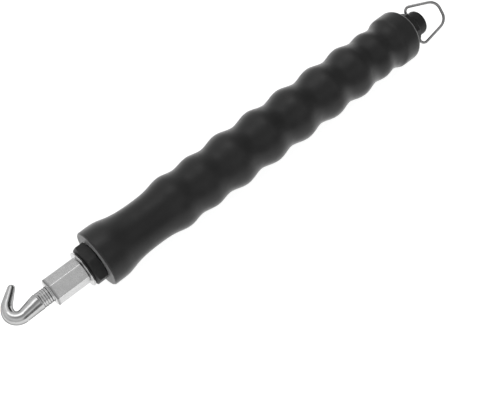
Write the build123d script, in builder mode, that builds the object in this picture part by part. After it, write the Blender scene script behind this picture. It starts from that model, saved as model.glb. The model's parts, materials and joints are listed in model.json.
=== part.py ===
"""Pull-type wire tie twister: a hook on a spiral rod that turns as it is drawn out of a gripped tube.

Every piece is made along the X axis, which is the tool's own axis. A station is a distance along that
axis from the front face of the grip: negative towards the hook, positive towards the hanging loop.
At the end the whole tool is shifted so that the middle of its footprint is the origin, with the grip
resting on Z = 0.
"""

from build123d import *
from math import cos, radians, sin, sqrt
import os

os.makedirs("parts", exist_ok=True)

# ---- driving dimensions, millimetres and degrees ----
GRIP_LENGTH = 232.3
GRIP_END_DIAMETER = 32.4  # of the lands at both ends
GRIP_FRONT_LAND = 7.0  # station where the front land ends
GRIP_REAR_LAND = 223.3  # station where the rear land starts
GRIP_FRONT_EDGE_RADIUS = 1.2
GRIP_REAR_EDGE_RADIUS = 2.8
# Station and diameter of the waist and the two slopes beside it, then of each finger ridge and each
# hollow between two ridges, and of the rise to the rear land.
GRIP_PROFILE = (
    (16.1, 29.0), (31.5, 26.5), (43.3, 28.3),
    (51.9, 31.2), (60.8, 28.3),
    (70.9, 31.1), (80.8, 28.1),
    (92.1, 32.5), (104.0, 28.1),
    (116.0, 32.6), (127.0, 28.1),
    (139.3, 32.6), (151.0, 27.9),
    (163.5, 32.6), (174.9, 28.0),
    (186.1, 32.4), (197.6, 27.9),
    (205.3, 30.3), (213.3, 27.8),
    (219.0, 30.9),
)

TUBE_OUTER = 19.0
TUBE_BORE = 16.0
TUBE_PLAY = 0.4  # on diameter, of a ring inside the tube

NUT_FLATS = 21.0  # both end nuts, across flats
FRONT_NUT_LENGTH = 6.6
FRONT_NUT_TURN = 52.9  # a corner of the front nut, about X from +Y
FRONT_SPIGOT_LENGTH = 12.0
REAR_HEX_LENGTH = 6.3
REAR_HEX_TURN = 20.0
REAR_TAPER_LENGTH = 2.2
REAR_SPIGOT_LENGTH = 12.0
BOSS_DIAMETER = 15.4
BOSS_LENGTH = 6.7
NUT_CHAMFER = 0.8
CHAMFER_SLOPE = 0.58  # along the axis for each millimetre outwards, 30 degrees
CHAMFER_START = 0.3  # the end face's circle is this far inside the flats

WASHER_THICKNESS = 1.9
WASHER_DIAMETER = 20.5
WASHER_EDGE = 0.3
ROD_PASS_DIAMETER = 9.4  # holes that the spiral only passes through

SPIRAL_ACROSS_FLATS = 6.6
SPIRAL_CORNER_RADIUS = 0.9
SPIRAL_CLEARANCE = 0.3
STROKE = 100.0
TURNS_PER_STROKE = 3.5
LEAD = STROKE / TURNS_PER_STROKE
JOURNAL_DIAMETER = 8.0
BUSH_BORE = 9.0

COLLAR_FLATS = 13.4
COLLAR_TURN = 36.5  # a corner of the collar, about X from +Y
COLLAR_GAP = 0.3
COLLAR_FRONT = -28.3
COLLAR_PIN_DIAMETER = 2.5
COLLAR_PIN_WALL = 0.6
COLLAR_PIN_SUNK = 0.2
COLLAR_PIN_PAST = 3.2  # the blind hole goes this far past the middle
COLLAR_PIN_STATION = -13.0

HOOK_THREAD_DIAMETER = 9.0
HOOK_THREAD_OUT = 5.0  # length of thread that shows in front of the collar
HOOK_SWERVE = 8.0  # the shank leans this far away from the side that the tip is on
HOOK_SWERVE_RADIUS = 28.5
HOOK_SHANK_LENGTH = 6.9
HOOK_BEND_RADIUS = 4.9
HOOK_BEND_HEADING = 95.0  # direction after the tight bend, turned from straight ahead
HOOK_CURL_RADIUS = 8.8
HOOK_TIP_HEADING = 137.0
HOOK_TIP_LENGTH = 8.2
HOOK_RADII = (4.7, 3.55, 3.3, 1.9)  # at the thread's end, either end of the tight bend, and the tip

LOOP_WIRE = 1.6
LOOP_HOLE_PLAY = 0.1
LOOP_STATION = 242.9
LOOP_ROLL = 40.1  # of the cross hole, about X from +Y
LOOP_SWING = 34.9  # of the loop about its cross hole, from straight back
LOOP_BASE_HALF = 13.25  # the sharp corners that the loop is bent round
LOOP_END_HALF = 6.8
LOOP_LENGTH = 19.05
LOOP_BASE_RADIUS = 2.6
LOOP_END_RADIUS = 7.0
LOOP_SIDE_SHIFT = -0.7
LOOP_INSERTED_TO = 4.2  # half the gap between the wire's two ends inside the boss

SPRING_WIRE = 1.5
SPRING_DIAMETER = 13.2  # mean
SPRING_TURNS = 36
SPRING_END_GAP = 0.1

# ---- stations worked out from those ----
WASHER_BACK = -FRONT_NUT_LENGTH
WASHER_FRONT = WASHER_BACK - WASHER_THICKNESS
COLLAR_BACK = WASHER_FRONT - COLLAR_GAP
DRIVE_NUT = (FRONT_SPIGOT_LENGTH + 2.0, FRONT_SPIGOT_LENGTH + 14.0)
SPRING_SEAT = (DRIVE_NUT[1], DRIVE_NUT[1] + 1.5)
FOLLOWER_FRONT = 186.0
FOLLOWER_FLANGE = (192.0, 199.0)
FIXED_RACE = (199.0, 200.4)
BALL_DIAMETER = 2.4
BALL_GAP = 0.1
RACE_THICKNESS = FIXED_RACE[1] - FIXED_RACE[0]
MOVING_FACE = FIXED_RACE[1] + BALL_DIAMETER + 2 * BALL_GAP
MOVING_RACE = (MOVING_FACE, MOVING_FACE + RACE_THICKNESS)
LOCK_NUT = (MOVING_RACE[1], MOVING_RACE[1] + 6.5)
LOCK_NUT_FLATS = 13.0
ROD_END = LOCK_NUT[1] + 1.5
SPIRAL = (COLLAR_BACK, FOLLOWER_FRONT - 1.5)
HEX_END = GRIP_LENGTH + REAR_HEX_LENGTH
BOSS_START = HEX_END + REAR_TAPER_LENGTH
BOSS_END = BOSS_START + BOSS_LENGTH

finished = []


def cross_plane(station, turn=0.0):
    """The plane square to the tool at a station, facing back, with its X direction turned from +Y."""
    across = (0, cos(radians(turn)), sin(radians(turn)))
    return Plane(origin=(station, 0, 0), x_dir=across, z_dir=(1, 0, 0))


def hex_radius(flats):
    return flats / sqrt(3)


def tube_between(start, end, outer, bore):
    """Adds a plain ring or bush, or a plain rod where bore is 0, to the part being made."""
    with BuildSketch(cross_plane(start)) as section:
        Circle(outer / 2)
        if bore:
            Circle(bore / 2, mode=Mode.SUBTRACT)
    extrude(section.sketch, amount=end - start)


def bore_between(start, end, diameter):
    """Cuts a round hole along the tool's axis."""
    with BuildSketch(cross_plane(start)) as section:
        Circle(diameter / 2)
    extrude(section.sketch, amount=end - start, mode=Mode.SUBTRACT)


def chamfered_hex(start, end, flats, turn):
    """Adds a hexagon bar whose corners are turned down by a cone at both ends."""
    with BuildSketch(cross_plane(start, turn)) as section:
        RegularPolygon(hex_radius(flats), 6)
    extrude(section.sketch, amount=end - start)
    corner = hex_radius(flats)
    reach = 2 * (corner - flats / 2) + NUT_CHAMFER  # wide enough for the cones to pass the corners
    inner = flats / 2 - CHAMFER_START
    with BuildSketch(Plane.XY) as cone:
        with BuildLine():
            Polyline(
                (start, 0), (start, inner), (start + CHAMFER_SLOPE * reach, inner + reach),
                (end - CHAMFER_SLOPE * reach, inner + reach), (end, inner), (end, 0), close=True,
            )
        make_face()
    revolve(cone.sketch, axis=Axis.X, mode=Mode.INTERSECT)


def twisted_bar(start, end, flats, corner_radius):
    """A square bar twisted about the tool's axis, one turn in each LEAD, in phase at any station."""
    length = end - start
    with BuildSketch(cross_plane(start, 360 * start / LEAD)) as section:
        RectangleRounded(flats, flats, corner_radius)
    return Solid.extrude_linear_with_rotation(
        section.sketch.face(), center=(start, 0, 0), normal=(length, 0, 0), angle=360 * length / LEAD
    )


def finish_piece(builder, name):
    builder.part.label = name
    finished.append(builder.part)


# ---- handle: what the hand holds ----
with BuildPart() as grip_sleeve:
    with BuildSketch(Plane.XY):
        with BuildLine():
            bore = TUBE_OUTER / 2
            flare = GRIP_END_DIAMETER / 2
            Polyline((GRIP_FRONT_LAND, flare), (0, flare), (0, bore))
            Spline(
                (GRIP_FRONT_LAND, flare),
                *[(station, diameter / 2) for station, diameter in GRIP_PROFILE],
                (GRIP_REAR_LAND, flare),
                tangents=[(1, 0), (1, 0)],
            )
            Polyline((GRIP_REAR_LAND, flare), (GRIP_LENGTH, flare), (GRIP_LENGTH, bore), (0, bore))
        make_face()
    revolve(axis=Axis.X)
    rims = grip_sleeve.edges().filter_by(GeomType.CIRCLE).filter_by(lambda rim: rim.radius > bore + 1)
    fillet(rims.sort_by(Axis.X)[0], radius=GRIP_FRONT_EDGE_RADIUS)
    rims = grip_sleeve.edges().filter_by(GeomType.CIRCLE).filter_by(lambda rim: rim.radius > bore + 1)
    fillet(rims.sort_by(Axis.X)[-1], radius=GRIP_REAR_EDGE_RADIUS)
finish_piece(grip_sleeve, "grip_sleeve")

SCREW_STATION = (DRIVE_NUT[0] + DRIVE_NUT[1]) / 2
SCREW_DIAMETER = 3.0
SCREW_TIP = 6.4
SCREW_SUNK = 0.4  # below the tube's outside
SCREW_PLANES = [
    Plane(origin=(SCREW_STATION, 0, 0), z_dir=(0, cos(radians(turn)), sin(radians(turn))))
    for turn in (0, 120, 240)
]

with BuildPart() as body_tube:
    tube_between(0, GRIP_LENGTH, TUBE_OUTER, TUBE_BORE)
    for plane in SCREW_PLANES:
        with BuildSketch(plane):
            Circle(SCREW_DIAMETER / 2)
        extrude(amount=TUBE_OUTER, mode=Mode.SUBTRACT)
finish_piece(body_tube, "body_tube")

BUSH_OUTER = 12.0
WIPER_OUTER = 13.0
WIPER_LENGTH = 2.4
BUSH_START = WASHER_BACK + WIPER_LENGTH

with BuildPart() as front_nut:
    chamfered_hex(WASHER_BACK, 0, NUT_FLATS, FRONT_NUT_TURN)
    tube_between(0, FRONT_SPIGOT_LENGTH, TUBE_BORE, 0)
    bore_between(BUSH_START, FRONT_SPIGOT_LENGTH, BUSH_OUTER)
    bore_between(WASHER_BACK, BUSH_START, WIPER_OUTER)
finish_piece(front_nut, "front_nut")

with BuildPart() as rod_wiper:
    tube_between(WASHER_BACK, BUSH_START, WIPER_OUTER, BUSH_BORE)
finish_piece(rod_wiper, "rod_wiper")

with BuildPart() as guide_bush:
    tube_between(BUSH_START, FRONT_SPIGOT_LENGTH, BUSH_OUTER, BUSH_BORE)
finish_piece(guide_bush, "guide_bush")

with BuildPart() as stop_washer:
    tube_between(WASHER_FRONT, WASHER_BACK, WASHER_DIAMETER, ROD_PASS_DIAMETER)
    outer_rims = stop_washer.edges().filter_by(GeomType.CIRCLE).sort_by(SortBy.RADIUS)[-2:]
    chamfer(outer_rims, length=WASHER_EDGE)
finish_piece(stop_washer, "stop_washer")

with BuildPart() as drive_nut:
    tube_between(*DRIVE_NUT, TUBE_BORE, 0)
    wide = SPIRAL_ACROSS_FLATS + 2 * SPIRAL_CLEARANCE
    add(twisted_bar(DRIVE_NUT[0] - 1, DRIVE_NUT[1] + 1, wide, SPIRAL_CORNER_RADIUS), mode=Mode.SUBTRACT)
    for plane in SCREW_PLANES:
        with BuildSketch(plane.offset(SCREW_TIP)):
            Circle(SCREW_DIAMETER / 2)
        extrude(amount=TUBE_OUTER, mode=Mode.SUBTRACT)
finish_piece(drive_nut, "drive_nut")

with BuildPart() as drive_nut_screws:
    for plane in SCREW_PLANES:
        with BuildSketch(plane.offset(SCREW_TIP)):
            Circle(SCREW_DIAMETER / 2)
        extrude(amount=TUBE_OUTER / 2 - SCREW_TIP - SCREW_SUNK)
finish_piece(drive_nut_screws, "drive_nut_screws")

with BuildPart() as spring_seat:
    tube_between(*SPRING_SEAT, TUBE_BORE - TUBE_PLAY, ROD_PASS_DIAMETER)
finish_piece(spring_seat, "spring_seat")

with BuildPart() as return_spring:
    first = SPRING_SEAT[1] + SPRING_WIRE / 2 + SPRING_END_GAP
    last = FOLLOWER_FLANGE[0] - SPRING_WIRE / 2 - SPRING_END_GAP
    with BuildLine() as coil:
        Helix(
            pitch=(last - first) / SPRING_TURNS, height=last - first, radius=SPRING_DIAMETER / 2,
            center=(first, 0, 0), direction=(1, 0, 0),
        )
    with BuildSketch(Plane(origin=coil.line @ 0, z_dir=coil.line % 0)):
        Circle(SPRING_WIRE / 2)
    sweep(is_frenet=True)
finish_piece(return_spring, "return_spring")

RING_WIDTH = 2.0
RING_MINOR = 1.5
RING_STATION = GRIP_LENGTH - REAR_SPIGOT_LENGTH / 2
LOOP_PLANE = Plane(
    origin=(LOOP_STATION, 0, 0),
    x_dir=(0, cos(radians(LOOP_ROLL)), sin(radians(LOOP_ROLL))),
    z_dir=(
        sin(radians(LOOP_SWING)),
        cos(radians(LOOP_SWING)) * sin(radians(LOOP_ROLL)),
        -cos(radians(LOOP_SWING)) * cos(radians(LOOP_ROLL)),
    ),
)

with BuildPart() as rear_cap:
    tube_between(GRIP_LENGTH - REAR_SPIGOT_LENGTH, GRIP_LENGTH, TUBE_BORE, 0)
    with BuildSketch(cross_plane(GRIP_LENGTH, REAR_HEX_TURN)):
        RegularPolygon(hex_radius(NUT_FLATS), 6)
    extrude(amount=REAR_HEX_LENGTH + REAR_TAPER_LENGTH)
    widest = hex_radius(NUT_FLATS) + 1
    taper = (NUT_FLATS / 2 - BOSS_DIAMETER / 2) / REAR_TAPER_LENGTH
    with BuildSketch(Plane.XY):
        with BuildLine():
            Polyline(
                (GRIP_LENGTH - REAR_SPIGOT_LENGTH, 0), (GRIP_LENGTH - REAR_SPIGOT_LENGTH, widest),
                (BOSS_START - (widest - BOSS_DIAMETER / 2) / taper, widest),
                (BOSS_START, BOSS_DIAMETER / 2), (BOSS_START, 0), close=True,
            )
        make_face()
    revolve(axis=Axis.X, mode=Mode.INTERSECT)
    tube_between(BOSS_START, BOSS_END, BOSS_DIAMETER, 0)
    end_rim = rear_cap.edges().filter_by(GeomType.CIRCLE).sort_by(Axis.X)[-1]
    chamfer(end_rim, length=0.5)
    with BuildSketch(cross_plane(RING_STATION - RING_WIDTH / 2)):
        Circle(TUBE_BORE / 2)
        Circle(TUBE_BORE / 2 - RING_MINOR, mode=Mode.SUBTRACT)
    extrude(amount=RING_WIDTH, mode=Mode.SUBTRACT)
    with BuildSketch(Plane(origin=(LOOP_STATION, 0, 0), z_dir=LOOP_PLANE.x_dir)):
        Circle(LOOP_WIRE / 2 + LOOP_HOLE_PLAY)
    extrude(amount=BOSS_DIAMETER, both=True, mode=Mode.SUBTRACT)
finish_piece(rear_cap, "rear_cap")

with BuildPart() as rear_o_ring:
    with BuildSketch(Plane.XY):
        with Locations((RING_STATION, TUBE_BORE / 2 - RING_MINOR / 2)):
            Circle(RING_MINOR / 2)
    revolve(axis=Axis.X)
finish_piece(rear_o_ring, "rear_o_ring")

# ---- carriage: what the spring pushes back ----
FOLLOWER_BORE = JOURNAL_DIAMETER + 0.6
FOLLOWER_NOSE = SPRING_DIAMETER - SPRING_WIRE - 0.6  # inside the spring
GUIDE_STATION = (194.0, 197.0)
GUIDE_DEPTH = 1.0
FOLLOWER_OUTER = TUBE_BORE - 1.0

with BuildPart() as spring_follower:
    tube_between(FOLLOWER_FRONT, FOLLOWER_FLANGE[0], FOLLOWER_NOSE, FOLLOWER_BORE)
    tube_between(*FOLLOWER_FLANGE, FOLLOWER_OUTER, FOLLOWER_BORE)
    with BuildSketch(cross_plane(GUIDE_STATION[0])):
        Circle(FOLLOWER_OUTER / 2)
        Circle(FOLLOWER_OUTER / 2 - GUIDE_DEPTH, mode=Mode.SUBTRACT)
    extrude(amount=GUIDE_STATION[1] - GUIDE_STATION[0], mode=Mode.SUBTRACT)
finish_piece(spring_follower, "spring_follower")

with BuildPart() as guide_ring:
    tube_between(*GUIDE_STATION, TUBE_BORE - TUBE_PLAY, FOLLOWER_OUTER - 2 * GUIDE_DEPTH)
finish_piece(guide_ring, "guide_ring")

RACE_OUTER = 14.8
BALL_CIRCLE = 11.8
BALL_COUNT = 9
BALL_STATION = FIXED_RACE[1] + BALL_GAP + BALL_DIAMETER / 2
CAGE_HALF = 0.5
CAGE_POCKET = BALL_DIAMETER + 0.1

with BuildPart() as fixed_race:
    tube_between(*FIXED_RACE, RACE_OUTER, FOLLOWER_BORE)
finish_piece(fixed_race, "fixed_race")

with BuildPart() as ball_cage:
    tube_between(BALL_STATION - CAGE_HALF, BALL_STATION + CAGE_HALF, RACE_OUTER, FOLLOWER_BORE)
    with BuildSketch(cross_plane(BALL_STATION)):
        with PolarLocations(BALL_CIRCLE / 2, BALL_COUNT):
            Circle(CAGE_POCKET / 2)
    extrude(amount=2 * CAGE_HALF, both=True, mode=Mode.SUBTRACT)
finish_piece(ball_cage, "ball_cage")

with BuildPart() as thrust_balls:
    with Locations(cross_plane(BALL_STATION)):
        with PolarLocations(BALL_CIRCLE / 2, BALL_COUNT):
            Sphere(BALL_DIAMETER / 2)
finish_piece(thrust_balls, "thrust_balls")

# ---- spindle: what turns as it is drawn out ----
SPIGOT_FRONT = -17.0
# Out through the middle of one of the collar's flats, from the bottom of its blind hole.
PIN_OUT = cross_plane(0, COLLAR_TURN + 210).x_dir
PIN_PLANE = Plane(origin=(COLLAR_PIN_STATION, 0, 0), z_dir=PIN_OUT).offset(-COLLAR_PIN_PAST)

with BuildPart() as spiral_rod:
    add(twisted_bar(*SPIRAL, SPIRAL_ACROSS_FLATS, SPIRAL_CORNER_RADIUS))
    tube_between(SPIGOT_FRONT, COLLAR_BACK, JOURNAL_DIAMETER, 0)
    tube_between(SPIRAL[1], ROD_END, JOURNAL_DIAMETER, 0)
    with BuildSketch(PIN_PLANE):
        Circle(COLLAR_PIN_DIAMETER / 2)
    extrude(amount=COLLAR_FLATS, mode=Mode.SUBTRACT)
finish_piece(spiral_rod, "spiral_rod")

with BuildPart() as moving_race:
    tube_between(*MOVING_RACE, RACE_OUTER, JOURNAL_DIAMETER)
finish_piece(moving_race, "moving_race")

with BuildPart() as rod_lock_nut:
    chamfered_hex(*LOCK_NUT, LOCK_NUT_FLATS, 0)
    bore_between(*LOCK_NUT, JOURNAL_DIAMETER)
finish_piece(rod_lock_nut, "rod_lock_nut")

with BuildPart() as hook_collar:
    chamfered_hex(COLLAR_FRONT, COLLAR_BACK, COLLAR_FLATS, COLLAR_TURN)
    bore_between(COLLAR_FRONT, SPIGOT_FRONT, HOOK_THREAD_DIAMETER)
    bore_between(SPIGOT_FRONT, COLLAR_BACK, JOURNAL_DIAMETER)
    with BuildSketch(PIN_PLANE):
        Circle(COLLAR_PIN_DIAMETER / 2)
    extrude(amount=COLLAR_FLATS, mode=Mode.SUBTRACT)
finish_piece(hook_collar, "hook_collar")

with BuildPart() as collar_pin:
    with BuildSketch(PIN_PLANE):
        Circle(COLLAR_PIN_DIAMETER / 2)
        Circle(COLLAR_PIN_DIAMETER / 2 - COLLAR_PIN_WALL, mode=Mode.SUBTRACT)
    extrude(amount=COLLAR_PIN_PAST + COLLAR_FLATS / 2 - COLLAR_PIN_SUNK)
finish_piece(collar_pin, "collar_pin")

with BuildPart() as twist_hook:
    thread_end = COLLAR_FRONT - HOOK_THREAD_OUT
    with BuildLine() as centre:
        swerve = JernArc(
            start=(thread_end, 0), tangent=(-1, 0), radius=HOOK_SWERVE_RADIUS, arc_size=HOOK_SWERVE
        )
        shank = PolarLine(start=swerve @ 1, length=HOOK_SHANK_LENGTH, direction=swerve % 1)
        bend = JernArc(
            start=shank @ 1, tangent=shank % 1, radius=HOOK_BEND_RADIUS,
            arc_size=-(HOOK_SWERVE + HOOK_BEND_HEADING),
        )
        curl = JernArc(
            start=bend @ 1, tangent=bend % 1, radius=HOOK_CURL_RADIUS,
            arc_size=HOOK_BEND_HEADING - HOOK_TIP_HEADING,
        )
        tip = PolarLine(start=curl @ 1, length=HOOK_TIP_LENGTH, direction=curl % 1)
    for point, along, radius in (
        (swerve @ 0, swerve % 0, HOOK_RADII[0]),
        (shank @ 1, shank % 1, HOOK_RADII[1]),
        (bend @ 1, bend % 1, HOOK_RADII[2]),
        (tip @ 1, tip % 1, HOOK_RADII[3]),
    ):
        with BuildSketch(Plane(origin=point, x_dir=(0, 0, 1), z_dir=along)):
            Circle(radius)
    sweep(multisection=True)
    with Locations(tip @ 1):
        Sphere(HOOK_RADII[3])
    tube_between(thread_end, SPIGOT_FRONT, HOOK_THREAD_DIAMETER, 0)
finish_piece(twist_hook, "twist_hook")

# ---- hanger: the wire loop ----
with BuildPart() as hanging_loop:
    with BuildLine(LOOP_PLANE) as wire:
        FilletPolyline(
            (-LOOP_INSERTED_TO, 0), (-LOOP_BASE_HALF + LOOP_SIDE_SHIFT, 0),
            (-LOOP_END_HALF + LOOP_SIDE_SHIFT, LOOP_LENGTH), (LOOP_END_HALF + LOOP_SIDE_SHIFT, LOOP_LENGTH),
            (LOOP_BASE_HALF + LOOP_SIDE_SHIFT, 0), (LOOP_INSERTED_TO, 0),
            radius=[LOOP_BASE_RADIUS, LOOP_END_RADIUS, LOOP_END_RADIUS, LOOP_BASE_RADIUS],
        )
    with BuildSketch(Plane(origin=wire.line @ 0, z_dir=wire.line % 0)):
        Circle(LOOP_WIRE / 2)
    sweep()
finish_piece(hanging_loop, "hanging_loop")

# ---- put the tool on its resting place and write it ----
boxes = [piece.bounding_box() for piece in finished]
low = [min(axis) for axis in zip(*(tuple(box.min) for box in boxes))]
high = [max(axis) for axis in zip(*(tuple(box.max) for box in boxes))]
to_rest = Location((-(low[0] + high[0]) / 2, -(low[1] + high[1]) / 2, -low[2]))
print("tool axis", to_rest.position, "lowest", low, "highest", high)
print("loop axis", LOOP_PLANE.origin + to_rest.position, LOOP_PLANE.x_dir, "lead", LEAD)
for piece in finished:
    placed = piece.moved(to_rest)
    placed.label = piece.label
    export_step(placed, f"parts/{piece.label}.step")
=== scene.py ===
"""Looks of a pull-type wire tie twister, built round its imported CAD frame. Lengths are in metres.

The tool lies along X. Its pieces are made in the tool's own terms: a station x along the axis, a
radius r from the axis and a turn about it, measured from +Y towards +Z.
"""

import json
import math

import bmesh
import bpy
import numpy as np
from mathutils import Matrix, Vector


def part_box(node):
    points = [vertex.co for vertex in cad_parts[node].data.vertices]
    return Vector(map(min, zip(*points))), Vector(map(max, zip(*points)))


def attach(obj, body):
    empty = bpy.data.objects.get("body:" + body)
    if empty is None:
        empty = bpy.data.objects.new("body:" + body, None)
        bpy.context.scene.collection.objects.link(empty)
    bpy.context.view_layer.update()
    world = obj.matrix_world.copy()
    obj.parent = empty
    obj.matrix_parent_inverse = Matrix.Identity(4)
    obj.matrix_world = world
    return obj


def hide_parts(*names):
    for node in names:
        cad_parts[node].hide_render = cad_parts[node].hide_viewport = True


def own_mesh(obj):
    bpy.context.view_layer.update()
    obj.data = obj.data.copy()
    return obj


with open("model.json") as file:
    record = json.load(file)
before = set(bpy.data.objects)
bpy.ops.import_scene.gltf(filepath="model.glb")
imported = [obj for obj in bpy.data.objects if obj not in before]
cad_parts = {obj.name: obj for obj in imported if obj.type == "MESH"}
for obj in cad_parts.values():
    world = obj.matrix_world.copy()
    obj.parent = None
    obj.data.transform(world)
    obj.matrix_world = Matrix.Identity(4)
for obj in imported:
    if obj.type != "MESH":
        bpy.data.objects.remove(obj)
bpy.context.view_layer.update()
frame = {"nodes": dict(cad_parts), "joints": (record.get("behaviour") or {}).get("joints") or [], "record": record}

MM = 0.001
NODES = frame["nodes"]
RECORD = frame["record"]

# ---- places, all from the frame ----
TUBE_LOW, TUBE_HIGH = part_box("body_tube")
AXIS_Y = (TUBE_LOW.y + TUBE_HIGH.y) / 2
AXIS_Z = (TUBE_LOW.z + TUBE_HIGH.z) / 2
GRIP_FRONT = TUBE_LOW.x
GRIP_BACK = TUBE_HIGH.x
TUBE_RADIUS = (TUBE_HIGH.y - TUBE_LOW.y) / 2
NUT_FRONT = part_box("front_nut")[0].x
WASHER_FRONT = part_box("stop_washer")[0].x
COLLAR_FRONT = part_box("hook_collar")[0].x
COLLAR_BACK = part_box("hook_collar")[1].x
CAP_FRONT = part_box("rear_cap")[0].x
CAP_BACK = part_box("rear_cap")[1].x
JOINTS = {joint["name"]: joint for joint in frame["joints"]}

# ---- sizes that the CAD part has too; a hexagon's TURN is where its corner is, in degrees ----
NUT_FLATS = 21.0 * MM
NUT_TURN = 52.9
NUT_FACE = 10.15 * MM  # radius of the end faces of the two black nuts
NUT_CHAMFER = 1.9 * MM  # how far out their chamfers go
PLAY = 0.05 * MM  # that keeps faces of two pieces apart
SPIGOT_RADIUS = 8.0 * MM
BUSH_RADIUS = 4.5 * MM
REAR_HEX_LENGTH = 6.3 * MM
REAR_HEX_TURN = 20.0
REAR_TAPER_LENGTH = 2.2 * MM
BOSS_RADIUS = 7.7 * MM
WASHER_RADIUS = 10.25 * MM
WASHER_BORE = 4.7 * MM
COLLAR_FLATS = 13.4 * MM
COLLAR_TURN = 36.5
COLLAR_THREAD_END = GRIP_FRONT - 17 * MM
JOURNAL_RADIUS = 4.0 * MM
PIN_STATION = -13.0 * MM  # from the grip's front end
PIN_TURN = COLLAR_TURN + 210  # square to one of the collar's flats
PIN_RADIUS = 1.25 * MM
PIN_PAST = 3.2 * MM  # how far its hole goes past the axis
HOOK_THREAD_RADIUS = 4.5 * MM
HOOK_THREAD_OUT = 5.0 * MM  # from the collar to where the hook's centre line starts to turn
# Stretches of the centre line from there on: length in mm, and the turn in degrees towards the side
# that the tip is on.
HOOK_SWERVE = (28.5 * math.radians(8), -8)
HOOK_SHANK = (6.9, 0)
HOOK_BEND = (4.9 * math.radians(103), 103)
HOOK_CURL = (8.8 * math.radians(42), 42)
HOOK_TIP = (8.2, 0)
# The bar's radii where the line starts to turn, and at the ends of the shank, the bend and the tip.
HOOK_RADII = (4.7 * MM, 3.55 * MM, 3.3 * MM, 1.9 * MM)
LOOP_WIRE = 1.6 * MM
LOOP_SWING = 34.9  # degrees, from the tool's axis
# The loop's sharp corners in mm, across and out from its cross hole, and the radii they are bent to.
LOOP_OUTLINE = (
    (-4.2, 0.0), (-13.95, 0.0), (-7.5, 19.05), (6.1, 19.05), (12.55, 0.0), (4.2, 0.0),
)
LOOP_BENDS = (2.6, 7.0, 7.0, 2.6)
# The middle of its hinge, and directions: along the hinge, square to the loop, out to its far side.
LOOP_CENTRE = Vector(JOINTS["loop_hinge"]["pos_m"])
LOOP_ACROSS = Vector(JOINTS["loop_hinge"]["axis"]).normalized()
SWING = math.radians(LOOP_SWING)
LOOP_NORMAL = Vector((
    math.sin(SWING), math.cos(SWING) * LOOP_ACROSS.z, -math.cos(SWING) * LOOP_ACROSS.y,
)).normalized()
LOOP_OUT = LOOP_NORMAL.cross(LOOP_ACROSS)


# ======== mesh helpers ========
def point(x, r, turn):
    """A point from its station, its radius and its turn in radians."""
    return (x, AXIS_Y + r * math.cos(turn), AXIS_Z + r * math.sin(turn))


def mesh_object(name, verts, faces):
    mesh = bpy.data.meshes.new(name)
    mesh.from_pydata([tuple(v) for v in verts], [], faces)
    made = bmesh.new()
    made.from_mesh(mesh)
    bmesh.ops.recalc_face_normals(made, faces=made.faces)
    made.to_mesh(mesh)
    made.free()
    piece = bpy.data.objects.new(name, mesh)
    bpy.context.scene.collection.objects.link(piece)
    return piece


def soften(piece, sharp_angle=32.0):
    """Smooth shading, with edges sharper than the angle kept."""
    piece.data.shade_smooth()
    piece.data.set_sharp_from_angle(angle=math.radians(sharp_angle))


def grid_faces(rows, columns, wrap_rows):
    """Quads of a grid that is closed across its columns, and along its rows where wrap_rows."""
    faces = []
    for i in range(rows if wrap_rows else rows - 1):
        for j in range(columns):
            a, b = i * columns, (i + 1) % rows * columns
            k = (j + 1) % columns
            faces.append((a + j, a + k, b + k, b + j))
    return faces


def turned(name, outline, turns, shape=None):
    """A piece turned about the tool's axis from a closed outline of (station, radius).

    shape(x, r, turn) changes the radius, as for a hexagon's flats."""
    verts = [
        point(x, shape(x, r, turn) if shape else r, turn) for x, r in outline for turn in turns
    ]
    return mesh_object(name, verts, grid_faces(len(outline), len(turns), True))


def even_turns(count):
    return [2 * math.pi * k / count for k in range(count)]


def hex_turns(corner_turn):
    """Turns that crowd towards a hexagon's corners."""
    first_half = (0, 0.6, 1.3, 2.2, 3.5, 5.5, 8.5, 13, 18, 24)
    second_half = (30, 36, 42, 47, 51.5, 54.5, 56.5, 57.8, 58.7, 59.4)
    return [
        math.radians(corner_turn + 60 * side + step)
        for side in range(6) for step in first_half + second_half
    ]


def hexagon(flats, corner_turn, sharpness=90):
    """The radius of a hexagon with slightly rounded corners, as a function of the turn."""
    middles = [math.radians(corner_turn + 30 + 60 * side) for side in range(6)]

    def radius(turn):
        total = sum(max(math.cos(turn - middle), 0) ** sharpness for middle in middles)
        return flats / 2 * total ** (-1 / sharpness)

    return radius


def smooth_min(a, b, width):
    """The lower of two lengths, blended where they differ by less than width."""
    h = min(max(0.5 + 0.5 * (b - a) / width, 0), 1)
    return b * (1 - h) + a * h - width * h * (1 - h)


def hex_shape(flats, corner_turn, width=0.12 * MM):
    """Limits a turned outline to a hexagon, so that its cones leave the chamfer arcs of a real nut."""
    side = hexagon(flats, corner_turn)
    return lambda x, r, turn: smooth_min(r, side(turn), width)


def run(start, end, count):
    """Points from start to end, without the end."""
    return [
        (start[0] + (end[0] - start[0]) * k / count, start[1] + (end[1] - start[1]) * k / count)
        for k in range(count)
    ]


def outline_through(*stops):
    """A closed outline through stops of (station, radius, points to the next stop)."""
    points = []
    for stop, after in zip(stops, stops[1:] + stops[:1]):
        points += run(stop[:2], after[:2], stop[2])
    return points


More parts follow.
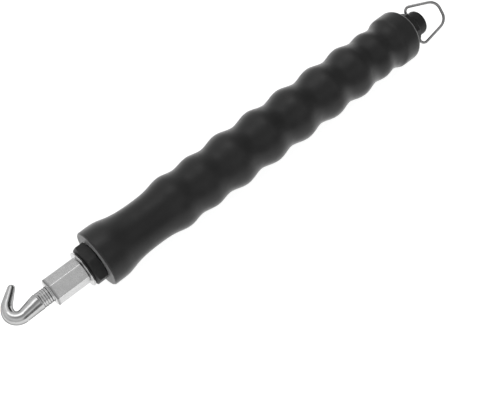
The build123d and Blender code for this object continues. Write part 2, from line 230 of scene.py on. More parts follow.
def rounded_path(corners, bends, step):
    """Points along straight runs whose inner corners are rounded by arcs of the given radii."""
    corners = [Vector(corner) for corner in corners]
    path = [corners[0]]
    for before, corner, after, radius in zip(corners, corners[1:], corners[2:], bends):
        back, on = (before - corner).normalized(), (after - corner).normalized()
        half = back.angle(on) / 2
        centre = corner + (back + on).normalized() * radius / math.sin(half)
        start = corner + back * radius / math.tan(half) - centre
        end = corner + on * radius / math.tan(half) - centre
        sweep = start.angle(end)
        count = max(4, math.ceil(sweep * radius / step))
        for k in range(count + 1):
            share = k / count
            path.append(
                centre + (start * math.sin((1 - share) * sweep) + end * math.sin(share * sweep))
                / math.sin(sweep)
            )
    path.append(corners[-1])
    filled = [path[0]]
    for a, b in zip(path, path[1:]):
        count = max(1, round((b - a).length / step))
        filled += [a + (b - a) * k / count for k in range(1, count + 1)]
    return filled


def swept(name, path, radii, side, around, relief=None):
    """A bar along a flat path. side is the direction square to the path's plane, and relief(k, turn)
    is added to the radius at point k. Both ends are closed by a fan."""
    verts = []
    last = len(path) - 1
    for k, place in enumerate(path):
        along = (path[min(k + 1, last)] - path[max(k - 1, 0)]).normalized()
        across = along.cross(side).normalized()
        for j in range(around):
            turn = 2 * math.pi * j / around
            r = radii[k] + (relief(k, turn) if relief else 0)
            verts.append(place + (across * math.cos(turn) + side * math.sin(turn)) * r)
    faces = grid_faces(len(path), around, False)
    for end, ring in ((0, 0), (last, last * around)):
        verts.append(path[end])
        centre = len(verts) - 1
        faces += [(centre, ring + j, ring + (j + 1) % around) for j in range(around)]
    return mesh_object(name, verts, faces)


def bake_modifiers(piece):
    """Applies a piece's modifiers to its mesh."""
    graph = bpy.context.evaluated_depsgraph_get()
    final = bpy.data.meshes.new_from_object(piece.evaluated_get(graph))
    piece.modifiers.clear()
    piece.data = final


def drill_hole(piece, path, radius, side):
    """Cuts a round hole along a straight path through a piece."""
    drill = swept("drill", path, [radius] * len(path), side, 24)
    cut = piece.modifiers.new("hole", "BOOLEAN")
    cut.object = drill
    cut.operation = "DIFFERENCE"
    cut.solver = "EXACT"
    bake_modifiers(piece)
    bpy.data.objects.remove(drill)


def paint_mask(piece, name, values):
    """Stores one number per vertex for the materials to read."""
    attribute = piece.data.attributes.new(name, "FLOAT", "POINT")
    attribute.data.foreach_set("value", np.asarray(values, np.float32))


def coordinates(piece):
    return np.array([v.co for v in piece.data.vertices], float).reshape(-1, 3)


# ======== materials ========
class Finish:
    """A material with a Principled shader and short calls for its procedural nodes."""

    def __init__(self, name, metallic=0.0, ior=1.45):
        self.material = bpy.data.materials.new(name)
        self.material.use_nodes = True
        self.tree = self.material.node_tree
        self.tree.nodes.clear()
        self.shader = self.tree.nodes.new("ShaderNodeBsdfPrincipled")
        self.shader.inputs["Metallic"].default_value = metallic
        self.shader.inputs["IOR"].default_value = ior
        output = self.tree.nodes.new("ShaderNodeOutputMaterial")
        self.link(self.shader.outputs["BSDF"], output.inputs["Surface"])
        self.place = self.tree.nodes.new("ShaderNodeTexCoord").outputs["Object"]
        self.normal = None

    def link(self, source, target):
        self.tree.links.new(source, target)

    def stretched(self, along=(1, 1, 1)):
        """Object coordinates scaled by axis, to draw a texture out into streaks."""
        mapping = self.tree.nodes.new("ShaderNodeMapping")
        mapping.inputs["Scale"].default_value = along
        self.link(self.place, mapping.inputs["Vector"])
        return mapping.outputs["Vector"]

    def noise(self, size, detail=3.0, roughness=0.55, along=(1, 1, 1)):
        """Noise whose features are about size across."""
        node = self.tree.nodes.new("ShaderNodeTexNoise")
        node.inputs["Scale"].default_value = 1 / size
        node.inputs["Detail"].default_value = detail
        node.inputs["Roughness"].default_value = roughness
        self.link(self.stretched(along), node.inputs["Vector"])
        return node.outputs["Fac"]

    def mask(self, name):
        node = self.tree.nodes.new("ShaderNodeAttribute")
        node.attribute_name = name
        return node.outputs["Fac"]

    def between(self, value, low, high, to_low=0.0, to_high=1.0):
        """Maps a value's range onto another, clamped."""
        node = self.tree.nodes.new("ShaderNodeMapRange")
        node.inputs["From Min"].default_value = low
        node.inputs["From Max"].default_value = high
        node.inputs["To Min"].default_value = to_low
        node.inputs["To Max"].default_value = to_high
        self.link(value, node.inputs["Value"])
        return node.outputs["Result"]

    def maths(self, operation, a, b):
        node = self.tree.nodes.new("ShaderNodeMath")
        node.operation = operation
        for socket, value in zip(node.inputs, (a, b)):
            if isinstance(value, (int, float)):
                socket.default_value = value
            else:
                self.link(value, socket)
        return node.outputs["Value"]

    def mix(self, share, first, second):
        """Mixes two colours, each given as three numbers or as a socket."""
        node = self.tree.nodes.new("ShaderNodeMix")
        node.data_type = "RGBA"
        self.link(share, node.inputs["Factor"])
        for socket, value in ((node.inputs[6], first), (node.inputs[7], second)):
            if isinstance(value, tuple):
                socket.default_value = (*value, 1)
            else:
                self.link(value, socket)
        return node.outputs[2]

    def colour(self, source):
        self.link(source, self.shader.inputs["Base Color"])

    def roughness(self, source):
        self.link(source, self.shader.inputs["Roughness"])

    def bump(self, height, distance, strength=1.0):
        """Adds relief of that depth on top of any that is there."""
        node = self.tree.nodes.new("ShaderNodeBump")
        node.inputs["Distance"].default_value = distance
        node.inputs["Strength"].default_value = strength
        self.link(height, node.inputs["Height"])
        if self.normal:
            self.link(self.normal, node.inputs["Normal"])
        self.normal = node.outputs["Normal"]
        self.link(self.normal, self.shader.inputs["Normal"])


def grey(level):
    return (level, level, level)


def moulded_rubber():
    """Satin black grip rubber: fine moulded grain, faint cloudiness, polished crests."""
    finish = Finish("grip_rubber_moulded", ior=1.4)
    cloud = finish.noise(18 * MM, detail=4)
    grain = finish.noise(0.35 * MM, detail=2)
    worn = finish.maths("MULTIPLY", finish.mask("crest"), finish.between(cloud, 0.35, 0.7))
    base = finish.mix(finish.between(cloud, 0.3, 0.7), grey(0.015), grey(0.019))
    finish.colour(finish.mix(worn, base, grey(0.022)))
    rough = finish.between(finish.noise(5 * MM, detail=5), 0.3, 0.7, 0.38, 0.50)
    finish.roughness(finish.maths("SUBTRACT", rough, finish.maths("MULTIPLY", worn, 0.06)))
    finish.shader.inputs["Specular IOR Level"].default_value = 0.42
    finish.shader.inputs["Sheen Weight"].default_value = 0.7
    finish.shader.inputs["Sheen Roughness"].default_value = 0.32
    finish.bump(grain, 0.02 * MM, 0.5)
    finish.bump(finish.noise(7 * MM, detail=1), 0.12 * MM, 0.35)
    return finish.material


def black_oxide():
    """Blackened steel nut: satin black, brighter where its edges are rubbed."""
    finish = Finish("black_oxide", ior=1.5)
    scratch = finish.noise(0.9 * MM, detail=6, roughness=0.7)
    edge = finish.maths("MULTIPLY", finish.mask("edge"), finish.between(scratch, 0.42, 0.66))
    cloud = finish.noise(3 * MM, detail=3)
    base = finish.mix(finish.between(cloud, 0.3, 0.7), grey(0.012), grey(0.02))
    finish.colour(finish.mix(edge, base, grey(0.05)))
    finish.roughness(finish.between(scratch, 0.3, 0.7, 0.42, 0.56))
    finish.shader.inputs["Specular IOR Level"].default_value = 0.3
    finish.bump(finish.noise(0.5 * MM, detail=3), 0.02 * MM, 0.5)
    return finish.material


def plated_steel(name, level, rough, grain=(1, 1, 1), size=0.5 * MM, depth=0.03 * MM, rim=1.0):
    """Plated or bright steel with the lines that drawing, turning or polishing leaves.

    level is how light it is, rough the range of its roughness, and grain, size and depth say how the
    lines are drawn out, how far apart they are and how deep. rim is the share of light that it sends
    back near grazing, which is low where it is dull."""
    finish = Finish(name, metallic=1.0)
    finish.shader.inputs["Specular Tint"].default_value = (rim, rim, rim, 1)
    cloud = finish.noise(4 * MM, detail=4)
    lines = finish.noise(size, detail=5, roughness=0.65, along=grain)
    finish.colour(finish.mix(finish.between(cloud, 0.3, 0.7), grey(level * 0.86), grey(level)))
    low, high = rough
    finish.roughness(finish.between(lines, 0.32, 0.68, low, high))
    finish.bump(lines, depth, 0.35)
    return finish.material


def collar_plate():
    """Zinc on the hexagon collar, rubbed bright along its corners and darker in a thin ring where its front
    chamfer meets the flats.
    """
    finish = Finish("collar_zinc", metallic=1.0)
    grain = finish.noise(0.25 * MM, detail=5, roughness=0.7, along=(0.5, 1, 1))
    cloud = finish.noise(3 * MM, detail=4)
    base = finish.mix(finish.between(cloud, 0.3, 0.7), grey(0.60), grey(0.74))
    speckled = finish.mix(finish.between(grain, 0.35, 0.6), grey(0.52), base)
    rubbed = finish.mix(finish.mask("edge"), speckled, grey(0.92))
    # Darkens the zinc in a thin ring where the front chamfer meets the flats.
    finish.colour(finish.mix(finish.mask("shoulder_ring"), rubbed, grey(0.22)))
    finish.roughness(finish.between(grain, 0.32, 0.68, 0.20, 0.34))
    finish.bump(grain, 0.05 * MM, 0.35)
    return finish.material


def brass_like(name, colour, rough):
    """Machined brass or bronze, clouded by handling."""
    finish = Finish(name, metallic=1.0)
    cloud = finish.noise(3 * MM, detail=4)
    darker = tuple(0.72 * part for part in colour)
    finish.colour(finish.mix(finish.between(cloud, 0.3, 0.7), darker, colour))
    lines = finish.noise(0.4 * MM, detail=4, along=(0.2, 1, 1))
    finish.roughness(finish.between(lines, 0.3, 0.7, rough - 0.06, rough + 0.08))
    finish.bump(lines, 0.02 * MM, 0.3)
    return finish.material


def plain_polymer(name, colour, rough):
    """Rubber or nylon with a matt, slightly uneven skin."""
    finish = Finish(name, ior=1.5)
    cloud = finish.noise(1.5 * MM, detail=4)
    lighter = tuple(min(1.25 * part, 1) for part in colour)
    finish.colour(finish.mix(finish.between(cloud, 0.3, 0.7), colour, lighter))
    finish.roughness(finish.between(cloud, 0.3, 0.7, rough, rough + 0.12))
    finish.bump(finish.noise(0.3 * MM, detail=2), 0.02 * MM, 0.4)
    return finish.material


DRAWN = (0.06, 1, 1)  # streaks along the tool
POLISHED = (0.3, 1, 1)  # short streaks along the tool
TURNED = (1, 0.15, 0.15)  # rings round the tool
MATERIALS = {
    "grip_rubber": moulded_rubber(),
    "black_nut": black_oxide(),
    "collar_steel": collar_plate(),
    "hook_chrome": plated_steel(
        "hook_polish", 0.60, (0.12, 0.26), grain=POLISHED, size=0.6 * MM, depth=0.04 * MM, rim=0.0,
    ),
    "loop_chrome": plated_steel("loop_wire", 0.30, (0.10, 0.2), depth=0.01 * MM, rim=0.0),
    "washer_steel": plated_steel(
        "washer_zinc", 0.52, (0.08, 0.16), grain=TURNED, size=0.4 * MM, depth=0.01 * MM,
    ),
    "rod_steel": plated_steel("rod_zinc", 0.55, (0.24, 0.4)),
    "tube_steel": plated_steel("tube_drawn", 0.50, (0.28, 0.42), grain=DRAWN, size=0.4 * MM),
    "spring_steel": plated_steel(
        "spring_oiled", 0.34, (0.24, 0.36), size=0.4 * MM, depth=0.02 * MM,
    ),
    "race_steel": plated_steel(
        "race_ground", 0.60, (0.1, 0.2), grain=TURNED, size=0.3 * MM, depth=0.01 * MM,
    ),
    "fastener_steel": plated_steel(
        "fastener_machined", 0.44, (0.26, 0.4), grain=TURNED, size=0.4 * MM,
    ),
    "bronze": brass_like("bronze_oiled", (0.42, 0.26, 0.12), 0.34),
    "brass": brass_like("brass_machined", (0.70, 0.50, 0.20), 0.28),
    "seal_rubber": plain_polymer("seal_rubber_matte", (0.014, 0.014, 0.014), 0.6),
    "nylon": plain_polymer("nylon_natural", (0.66, 0.63, 0.55), 0.42),
}
SLOT_OF = {part["node"]: part["material_slot"] for part in RECORD["subparts"]}


def dress(piece, node, body):
    """Gives a piece its node's material, lets it stand for the node and makes it ride."""
    slot = SLOT_OF[node]
    piece.data.materials.clear()
    piece.data.materials.append(MATERIALS[slot])
    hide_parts(node)
    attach(piece, body)
    return piece


# ======== grip ========
def radii_of(places):
    """Distances of places from the tool's axis."""
    return np.hypot(places[:, 1] - AXIS_Y, places[:, 2] - AXIS_Z)


def grip_radius_by_station():
    """Reads the grip's outer profile off its CAD solid, and smooths the facets out of it."""
    places = coordinates(NODES["grip_sleeve"])
    radii = radii_of(places)
    outer = radii > TUBE_RADIUS + 1.5 * MM
    stations = np.round(places[outer, 0], 5)
    radii = radii[outer]
    known = np.unique(stations)
    profile = np.array([radii[stations == x].max() for x in known])
    fine = np.arange(GRIP_FRONT, GRIP_BACK, 0.25 * MM)
    values = np.interp(fine, known, profile)
    reach, spread = 6, 2.2  # of the smoothing, in steps of fine
    kernel = np.exp(-0.5 * (np.arange(-reach, reach + 1) / spread) ** 2)
    smooth = np.convolve(np.pad(values, reach, mode="edge"), kernel / kernel.sum(), mode="valid")
    return lambda x: float(np.interp(x, fine, smooth))


FRONT_ROUND = 1.0 * MM  # radii of the grip's outer edges, at its two ends
REAR_ROUND = 2.8 * MM
PARTING_TURNS = (math.radians(35), math.radians(215))
PARTING_HEIGHT = 0.07 * MM
PARTING_WIDTH = math.radians(1.1)
CREST_RADII = (14.6 * MM, 16.2 * MM)  # where the polish on the ridges starts and is full


def grip_sleeve():
    """The rubber sleeve: finger ridges, rounded ends and mould parting lines."""
    radius_at = grip_radius_by_station()
    land = radius_at(GRIP_FRONT + 4 * MM)
    bore = TUBE_RADIUS
    outline = [(GRIP_FRONT + 0.5 * MM, bore), (GRIP_FRONT, bore + 0.5 * MM)]
    outline += run((GRIP_FRONT, bore + 1 * MM), (GRIP_FRONT, land - FRONT_ROUND), 5)
    outline += [
        (GRIP_FRONT + FRONT_ROUND * (1 - math.cos(t)), land - FRONT_ROUND * (1 - math.sin(t)))
        for t in (math.radians(90 * k / 8) for k in range(9))
    ]
    body = np.arange(GRIP_FRONT + 1.6 * MM, GRIP_BACK - REAR_ROUND, 0.7 * MM)
    outline += [(x, radius_at(x)) for x in body]
    end = radius_at(GRIP_BACK - REAR_ROUND - 1 * MM)
    outline += [
        (GRIP_BACK - REAR_ROUND * (1 - math.sin(t)), end - REAR_ROUND * (1 - math.cos(t)))
        for t in (math.radians(90 * k / 10) for k in range(11))
    ]
    outline += run((GRIP_BACK, end - REAR_ROUND - 0.4 * MM), (GRIP_BACK, bore + 0.4 * MM), 4)
    outline += [(GRIP_BACK, bore + 0.4 * MM), (GRIP_BACK - 0.4 * MM, bore)]
    outline += run((GRIP_BACK - 2 * MM, bore), (GRIP_FRONT + 2 * MM, bore), 8)

    def with_parting(x, r, turn):
        """A fine raised line where the mould halves met, which dies out at the front lip."""
        if r < bore + 2.5 * MM:
            return r
        off = min(abs(math.remainder(turn - line, 2 * math.pi)) for line in PARTING_TURNS)
        fade = min(max((x - GRIP_FRONT - 1.5 * MM) / (2 * MM), 0), 1)
        return r + PARTING_HEIGHT * fade * math.exp(-((off / PARTING_WIDTH) ** 2))

    turns = even_turns(120)
    across_line = (-1.3, -0.65, 0.02, 0.65, 1.3)  # in widths of the line
    turns += [line + PARTING_WIDTH * k for line in PARTING_TURNS for k in across_line]
    grip = turned("rubber_grip", outline, sorted(turns), with_parting)
    soften(grip, 50)
    start, full = CREST_RADII
    paint_mask(grip, "crest", np.clip((radii_of(coordinates(grip)) - start) / (full - start), 0, 1))
    return dress(grip, "grip_sleeve", "handle")


# ======== hexagon pieces ========
CHAMFER_SLOPE = 0.58  # of the chamfer cones: how far along the axis for each step out


def hex_edge_mask(piece, flats, corner_turn, width=3.0):
    """Marks the rubbed corners of a hexagon, within a width in degrees."""
    places = coordinates(piece)
    turns = np.degrees(np.arctan2(places[:, 2] - AXIS_Z, places[:, 1] - AXIS_Y))
    off = np.abs((turns - corner_turn + 30) % 60 - 30)
    paint_mask(piece, "edge", np.clip(1 - off / width, 0, 1) * (radii_of(places) > flats / 2))


def front_nut():
    """The black gland nut: turned chamfers, rounded corners and the spigot inside the tube."""
    wide = NUT_FACE + NUT_CHAMFER
    back = GRIP_FRONT - PLAY
    recess, recess_floor = BUSH_RADIUS + 2 * MM, NUT_FRONT + 2.4 * MM
    bore = BUSH_RADIUS + 1.55 * MM
    spigot_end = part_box("front_nut")[1].x
    outline = outline_through(
        (NUT_FRONT, recess, 4),
        (NUT_FRONT, NUT_FACE, 12),
        (NUT_FRONT + CHAMFER_SLOPE * NUT_CHAMFER, wide, 8),
        (GRIP_FRONT - CHAMFER_SLOPE * NUT_CHAMFER, wide, 12),
        (back, NUT_FACE, 3),
        (back, SPIGOT_RADIUS - PLAY, 2),
        (spigot_end, SPIGOT_RADIUS - PLAY, 2),
        (spigot_end, bore, 2),
        (recess_floor, bore, 1),
        (recess_floor, recess, 1),
    )
    nut = turned("gland_nut", outline, hex_turns(NUT_TURN), hex_shape(NUT_FLATS, NUT_TURN))
    soften(nut, 24)
    hex_edge_mask(nut, NUT_FLATS, NUT_TURN)
    return dress(nut, "front_nut", "handle")


def hook_collar():
    """The long hexagon nut on the hook: chamfer arcs, a countersunk thread hole, a blind pin hole and
    a turned face towards the washer."""
    face = COLLAR_FLATS / 2 - 0.25 * MM
    chamfer = 1.4 * MM
    countersink = 0.5 * MM
    turned_face = COLLAR_BACK + 0.7 * (WASHER_FRONT - COLLAR_BACK)
    outline = outline_through(
        (COLLAR_FRONT, HOOK_THREAD_RADIUS + countersink, 3),
        (COLLAR_FRONT, face, 12),
        (COLLAR_FRONT + CHAMFER_SLOPE * chamfer, face + chamfer, 16),
        (COLLAR_BACK - CHAMFER_SLOPE * chamfer / 2, face + chamfer, 12),
        (COLLAR_BACK, face + chamfer / 2, 2),
        (COLLAR_BACK, face, 2),
        (turned_face, face - 0.1 * MM, 3),
        (turned_face, JOURNAL_RADIUS, 3),
        (COLLAR_THREAD_END, JOURNAL_RADIUS, 1),
        (COLLAR_THREAD_END, HOOK_THREAD_RADIUS, 4),
        (COLLAR_FRONT + countersink, HOOK_THREAD_RADIUS, 2),
    )
    collar = turned("hex_collar", outline, hex_turns(COLLAR_TURN), hex_shape(COLLAR_FLATS, COLLAR_TURN))
    middle = Vector((GRIP_FRONT + PIN_STATION, AXIS_Y, AXIS_Z))
    out = Vector(point(middle.x, 1, math.radians(PIN_TURN))) - middle
    steps = (-PIN_PAST, 0, 4 * MM, 8 * MM)
    drill_hole(collar, [middle + out * step for step in steps], PIN_RADIUS, Vector((1, 0, 0)))
    soften(collar, 24)
    hex_edge_mask(collar, COLLAR_FLATS, COLLAR_TURN, 2.5)
    # A thin ring where the front chamfer meets the flats, along which the zinc is darkened.
    stations = coordinates(collar)[:, 0]
    shoulder = COLLAR_FRONT + CHAMFER_SLOPE * (chamfer + face - COLLAR_FLATS / 2)
    paint_mask(collar, "shoulder_ring", np.exp(-(((stations - shoulder) / (0.35 * MM)) ** 2)))
    return dress(collar, "hook_collar", "spindle")


def stop_washer():
    """The polished stop washer. Its rim slants in towards the nut, which it mirrors."""
    edge = 0.3 * MM
    edge_middle = 0.29 * edge
    flat, slant = 0.12 * MM, 0.75 * MM
    rim = WASHER_RADIUS
    outline = outline_through(
        (WASHER_FRONT, WASHER_BORE + edge, 4),
        (WASHER_FRONT, rim - edge, 1),
        (WASHER_FRONT + edge_middle, rim - edge_middle, 1),
        (WASHER_FRONT + edge, rim, 1),
        (WASHER_FRONT + edge + flat, rim, 2),
        (NUT_FRONT, rim - slant, 3),
        (NUT_FRONT, WASHER_BORE, 1),
        (WASHER_FRONT + edge, WASHER_BORE, 1),
    )
    washer = turned("stop_ring", outline, even_turns(120))
    soften(washer, 22)
    return dress(washer, "stop_washer", "handle")


def rear_cap():
    """The black end cap: hexagon, taper, boss, O-ring groove and the cross hole for the loop."""
    boss_start = GRIP_BACK + REAR_HEX_LENGTH + REAR_TAPER_LENGTH
    hex_front = GRIP_BACK + PLAY
    spigot = SPIGOT_RADIUS - PLAY
    spigot_edge, boss_edge = 0.4 * MM, 0.7 * MM
    groove = (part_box("rear_o_ring")[0].x - 0.25 * MM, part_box("rear_o_ring")[1].x + 0.25 * MM)
    groove_depth = 1.5 * MM
    taper = (NUT_FLATS / 2 - BOSS_RADIUS) / REAR_TAPER_LENGTH
    wide = NUT_FACE + NUT_CHAMFER
    outline = outline_through(
        (CAP_FRONT, 0.4 * MM, 2),
        (CAP_FRONT, spigot - spigot_edge, 1),
        (CAP_FRONT + spigot_edge, spigot, 2),
        (groove[0], spigot, 1),
        (groove[0], spigot - groove_depth, 1),
        (groove[1], spigot - groove_depth, 1),
        (groove[1], spigot, 2),
        (hex_front, spigot, 2),
        (hex_front, NUT_FACE, 12),
        (hex_front + CHAMFER_SLOPE * NUT_CHAMFER, wide, 10),
        (boss_start - (wide - BOSS_RADIUS) / taper, wide, 22),
        (boss_start - 0.3 * MM, BOSS_RADIUS + 0.3 * MM * taper, 3),
        (boss_start + 0.6 * MM, BOSS_RADIUS, 8),
        (CAP_BACK - boss_edge, BOSS_RADIUS, 2),
        (CAP_BACK - 0.2 * MM, BOSS_RADIUS - 0.2 * MM, 2),
        (CAP_BACK, BOSS_RADIUS - boss_edge, 6),
        (CAP_BACK, 0.4 * MM, 1),
    )
    cap = turned("end_cap", outline, hex_turns(REAR_HEX_TURN), hex_shape(NUT_FLATS, REAR_HEX_TURN))
    across = [LOOP_CENTRE + LOOP_ACROSS * offset * MM for offset in range(-10, 11, 2)]
    drill_hole(cap, across, LOOP_WIRE / 2 + 0.12 * MM, LOOP_NORMAL)
    soften(cap, 24)
    hex_edge_mask(cap, NUT_FLATS, REAR_HEX_TURN)
    return dress(cap, "rear_cap", "handle")


# ======== wire loop ========
CUT_END = 0.7  # of the wire's radius, at its two dressed ends


def hanging_loop():
    """The bent wire loop, with its two ends turned into the boss."""
    corners = [LOOP_CENTRE + (LOOP_ACROSS * a + LOOP_OUT * b) * MM for a, b in LOOP_OUTLINE]
    path = rounded_path(corners, [bend * MM for bend in LOOP_BENDS], 0.45 * MM)
    radii = [LOOP_WIRE / 2] * len(path)
    for end in (0, -1):
        radii[end] *= CUT_END
    loop = swept("wire_loop", path, radii, LOOP_NORMAL, 28)
    soften(loop, 50)
    return dress(loop, "hanging_loop", "hanger")


# ======== hook ========
THREAD_ROOT = 15 * MM  # from where the centre line starts to turn, back into the collar
THREAD_PITCH = 1.25 * MM
THREAD_DEPTH = 0.34 * MM
THREAD_END = 2.2 * MM  # how far the thread runs onto the swerve
TIP_SHARE = 0.998  # of the tip's radius: the line stops just short of the rounded tip's pole


def hook_path():
    """The hook's centre line, which is level, and how far along it each point is, from where it
    starts to turn."""
    place = Vector((COLLAR_FRONT - HOOK_THREAD_OUT + THREAD_ROOT, AXIS_Y, AXIS_Z))
    path, along = [place.copy()], [-THREAD_ROOT]
    heading = 0.0
    stretches = [(THREAD_ROOT, 0, THREAD_PITCH / 16)]
    for length, turn in (HOOK_SWERVE, HOOK_SHANK, HOOK_BEND, HOOK_CURL, HOOK_TIP):
        stretches.append((length * MM, math.radians(turn), 0.3 * MM))
    stretches.append((HOOK_RADII[3] * TIP_SHARE, 0, 0.12 * MM))
    for length, turn, step in stretches:
        count = math.ceil(length / step)
        for _ in range(count):
            middle = heading + turn / count / 2
            place = place + Vector((-math.cos(middle), math.sin(middle), 0)) * length / count
            heading += turn / count
            path.append(place)
            along.append(along[-1] + length / count)
    return path, np.array(along)


def twist_hook():
    """The hook: a bar that thins towards its rounded tip, with a real thread at the collar."""
    path, along = hook_path()
    shank = (HOOK_SWERVE[0] + HOOK_SHANK[0]) * MM
    bend = shank + HOOK_BEND[0] * MM
    tip = bend + (HOOK_CURL[0] + HOOK_TIP[0]) * MM
    bar = np.interp(along, [0, shank, bend, tip], HOOK_RADII)
    bar = np.where(along < THREAD_END, HOOK_THREAD_RADIUS, bar)
    beyond = np.clip((along - tip) / HOOK_RADII[3], 0, 1)
    bar = bar * np.sqrt(1 - beyond**2)

    def thread(k, turn):
        """A thread groove with straight flanks, a flat root and a flat crest."""
        s = along[k]
        fade = min(max((THREAD_END - 0.4 * MM - s) / (0.5 * MM), 0), 1)
        phase = (s / THREAD_PITCH - turn / (2 * math.pi)) % 1
        groove = abs(2 * phase - 1)
        return -THREAD_DEPTH * fade * min(max(1.3 * groove - 0.15, 0), 1)

    hook = swept("hook", path, list(bar), Vector((0, 0, 1)), 48, thread)
    soften(hook, 40)
    return dress(hook, "twist_hook", "spindle")


# ======== return spring ========
SPRING_TURNS = 36
SPRING_WIRE_RADIUS = 0.75 * MM


def recoil_spring():
    """The long coil round the rod, made at one length, though the real coil closes up as the rod is pulled out."""
    low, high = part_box("return_spring")
    coil = (high.y - low.y) / 2 - SPRING_WIRE_RADIUS
    first, last = low.x + SPRING_WIRE_RADIUS, high.x - SPRING_WIRE_RADIUS
    steps, around = 28 * SPRING_TURNS, 10
    verts = []
    for k in range(steps + 1):
        turn = 2 * math.pi * k * SPRING_TURNS / steps
        middle = first + (last - first) * k / steps
        for j in range(around):
            angle = 2 * math.pi * j / around
            out, along = math.sin(angle), math.cos(angle)
            x, r = middle + SPRING_WIRE_RADIUS * along, coil + SPRING_WIRE_RADIUS * out
            verts.append(point(x, r, turn))
    faces = grid_faces(steps + 1, around, False)
    faces += [tuple(range(around)), tuple(range(steps * around, (steps + 1) * around))]
    spring = mesh_object("recoil_spring", verts, faces)
    soften(spring, 60)
    dress(spring, "return_spring", "handle")
    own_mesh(spring)
    return spring


# ======== CAD nodes that keep their own shape ========
def dress_cad_nodes():
    for name, node in NODES.items():
        slot = SLOT_OF[name]
        for index in range(len(node.data.materials)):
            node.data.materials[index] = MATERIALS[slot]


# ======== stage ========
STAGE_HALF = 3.0  # from the middle to each edge of the floor
WALL_HEIGHT = 3.0


def glowing_white(name, base, glow):
    """A matt white that glows, as a lit table or wall does where it is burnt out to white."""
    finish = Finish(name)
    finish.shader.inputs["Base Color"].default_value = (*grey(base), 1)
    finish.shader.inputs["Roughness"].default_value = 0.9
    finish.shader.inputs["Specular IOR Level"].default_value = 0.1
    finish.shader.inputs["Emission Color"].default_value = (1, 1, 1, 1)
    finish.shader.inputs["Emission Strength"].default_value = glow
    return finish.material


def floor_and_wall():
    """A plain white light table, and a pale wall round it that only direct sight meets, so that the
    sky behind it still lights the tool."""
    corners = [
        (x * STAGE_HALF, y * STAGE_HALF) for x, y in ((-1, -1), (1, -1), (1, 1), (-1, 1))
    ]
    low = [(x, y, 0) for x, y in corners]
    high = [(x, y, WALL_HEIGHT) for x, y in corners]
    table = mesh_object("light_table", low, [(0, 1, 2, 3)])
    table.data.materials.append(glowing_white("light_table_white", base=0.4, glow=0.9))
    sides = [(k, (k + 1) % 4, (k + 1) % 4 + 4, k + 4) for k in range(4)]
    wall = mesh_object("pale_wall", low + high, sides)
    wall.data.materials.append(glowing_white("pale_wall_white", base=0.0, glow=0.86))
    wall.visible_diffuse = wall.visible_glossy = wall.visible_transmission = False
    wall.visible_volume_scatter = wall.visible_shadow = False


# The sky's level against the upward part of the direction, from the horizon to straight up.
SKY_LEVELS = ((0.0, 0.70), (0.3, 0.66), (0.62, 0.85), (0.75, 0.78), (0.88, 0.45), (1.0, 0.30))
# Patches of the surroundings: direction, angle inside which the patch is full and outside which it
# has gone, in degrees, and level.
PATCHES = (
    ((1.0, 0.0, 0.05), 38, 54, 0.04),
    ((0.22, -0.93, 0.28), 17, 27, 0.18),
    ((0.10, 0.36, 0.92), 11, 22, 2.0),
)


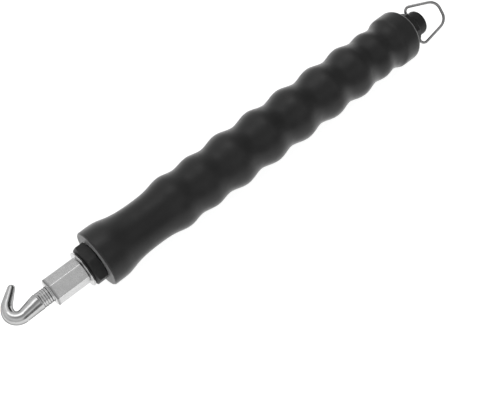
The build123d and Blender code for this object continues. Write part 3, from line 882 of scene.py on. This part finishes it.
def sky():
    """Studio surroundings: light walls, a dim ceiling with one bright panel, and dark gaps."""
    world = bpy.data.worlds.new("studio")
    bpy.context.scene.world = world
    world.use_nodes = True
    nodes, links = world.node_tree.nodes, world.node_tree.links
    nodes.clear()
    direction = nodes.new("ShaderNodeTexCoord").outputs["Generated"]
    split = nodes.new("ShaderNodeSeparateXYZ")
    ramp = nodes.new("ShaderNodeValToRGB")
    elements = ramp.color_ramp.elements
    for _ in range(len(SKY_LEVELS) - 2):
        elements.new(0.5)
    for element, (position, level) in zip(elements, SKY_LEVELS):
        element.position = position
        element.color = (level, level, level, 1)
    links.new(direction, split.inputs["Vector"])
    links.new(split.outputs["Z"], ramp.inputs["Fac"])
    level_so_far = ramp.outputs["Color"]
    for towards, inner, outer, level in PATCHES:
        dot = nodes.new("ShaderNodeVectorMath")
        dot.operation = "DOT_PRODUCT"
        dot.inputs[1].default_value = Vector(towards).normalized()
        links.new(direction, dot.inputs[0])
        share = nodes.new("ShaderNodeMapRange")
        share.interpolation_type = "SMOOTHSTEP"
        share.inputs["From Min"].default_value = math.cos(math.radians(outer))
        share.inputs["From Max"].default_value = math.cos(math.radians(inner))
        links.new(dot.outputs["Value"], share.inputs["Value"])
        mix = nodes.new("ShaderNodeMix")
        mix.data_type = "RGBA"
        links.new(share.outputs["Result"], mix.inputs["Factor"])
        links.new(level_so_far, mix.inputs[6])
        mix.inputs[7].default_value = (level, level, level, 1)
        level_so_far = mix.outputs[2]
    background = nodes.new("ShaderNodeBackground")
    output = nodes.new("ShaderNodeOutputWorld")
    links.new(level_so_far, background.inputs["Color"])
    links.new(background.outputs["Background"], output.inputs["Surface"])


CAMERA_FROM_GRIP = (-77.2, -196.3, 359.7)  # from the middle of the grip's front end, in mm
CAMERA_HEADING = 42.5  # of its line of sight, from +Y towards +X
CAMERA_DOWN = 57.5  # of its line of sight, below the horizon
CAMERA_SENSOR = 36.0  # wide, in mm
CAMERA_LENS = 59.2  # in mm


def camera():
    """The camera looks down across the tool from beyond the hook's end."""
    data = bpy.data.cameras.new("camera")
    data.sensor_width = CAMERA_SENSOR
    data.lens = CAMERA_LENS
    data.clip_start, data.clip_end = 0.01, 20
    viewer = bpy.data.objects.new("camera", data)
    bpy.context.scene.collection.objects.link(viewer)
    heading, down = math.radians(CAMERA_HEADING), math.radians(CAMERA_DOWN)
    look = Vector((
        math.sin(heading) * math.cos(down), math.cos(heading) * math.cos(down), -math.sin(down),
    ))
    viewer.location = Vector((GRIP_FRONT, AXIS_Y, AXIS_Z)) + Vector(CAMERA_FROM_GRIP) * MM
    viewer.rotation_mode = "QUATERNION"
    viewer.rotation_quaternion = look.to_track_quat("-Z", "Y")
    bpy.context.scene.camera = viewer


camera()
sky()
floor_and_wall()
bpy.context.scene.view_settings.view_transform = "Standard"

dress_cad_nodes()
grip_sleeve()
front_nut()
stop_washer()
hook_collar()
twist_hook()
rear_cap()
hanging_loop()
recoil_spring()
